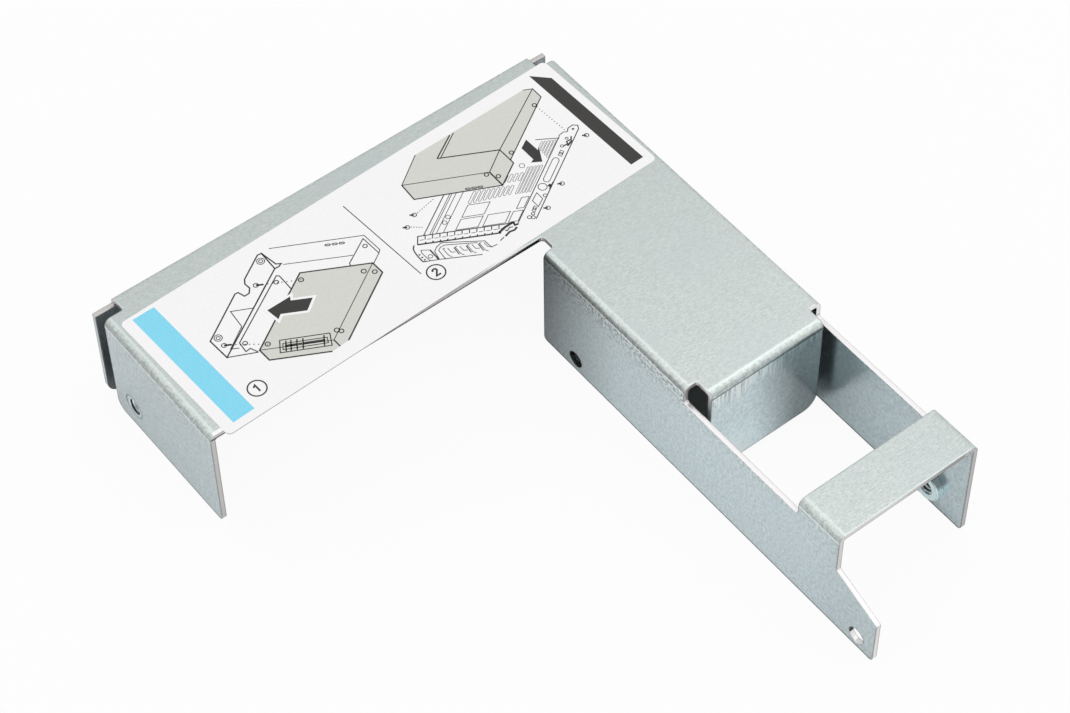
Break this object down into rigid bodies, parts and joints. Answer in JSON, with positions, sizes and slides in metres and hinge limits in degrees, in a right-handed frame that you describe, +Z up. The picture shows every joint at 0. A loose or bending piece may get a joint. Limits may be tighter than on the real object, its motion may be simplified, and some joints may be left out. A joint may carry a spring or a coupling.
{
  "type": "drive bay adapter bracket",
  "caption": "L-shaped folded steel adapter bracket that holds a 2.5-inch drive in a 3.5-inch drive bay, with clinch nuts in its flanges and a paper label on its front bar.",
  "frame": {"origin": "middle of the bracket's outline, on the plane that its flanges stand on", "axes": "+X along the front bar towards the side arm's outer flange, +Y towards the back flange, +Z up through the labelled plate"},
  "size_m": [0.1016, 0.1306, 0.0246],
  "materials": {
    "zinc_sheet": "satin",
    "zinc_nut": "satin",
    "label_paper": "satin"
  },
  "bodies": {
    "root": {"bracket": "zinc_sheet", "label": "label_paper", "nut_end": "zinc_nut", "nut_outer_front": "zinc_nut", "nut_outer_rear": "zinc_nut"}
  },
  "joints": []
}
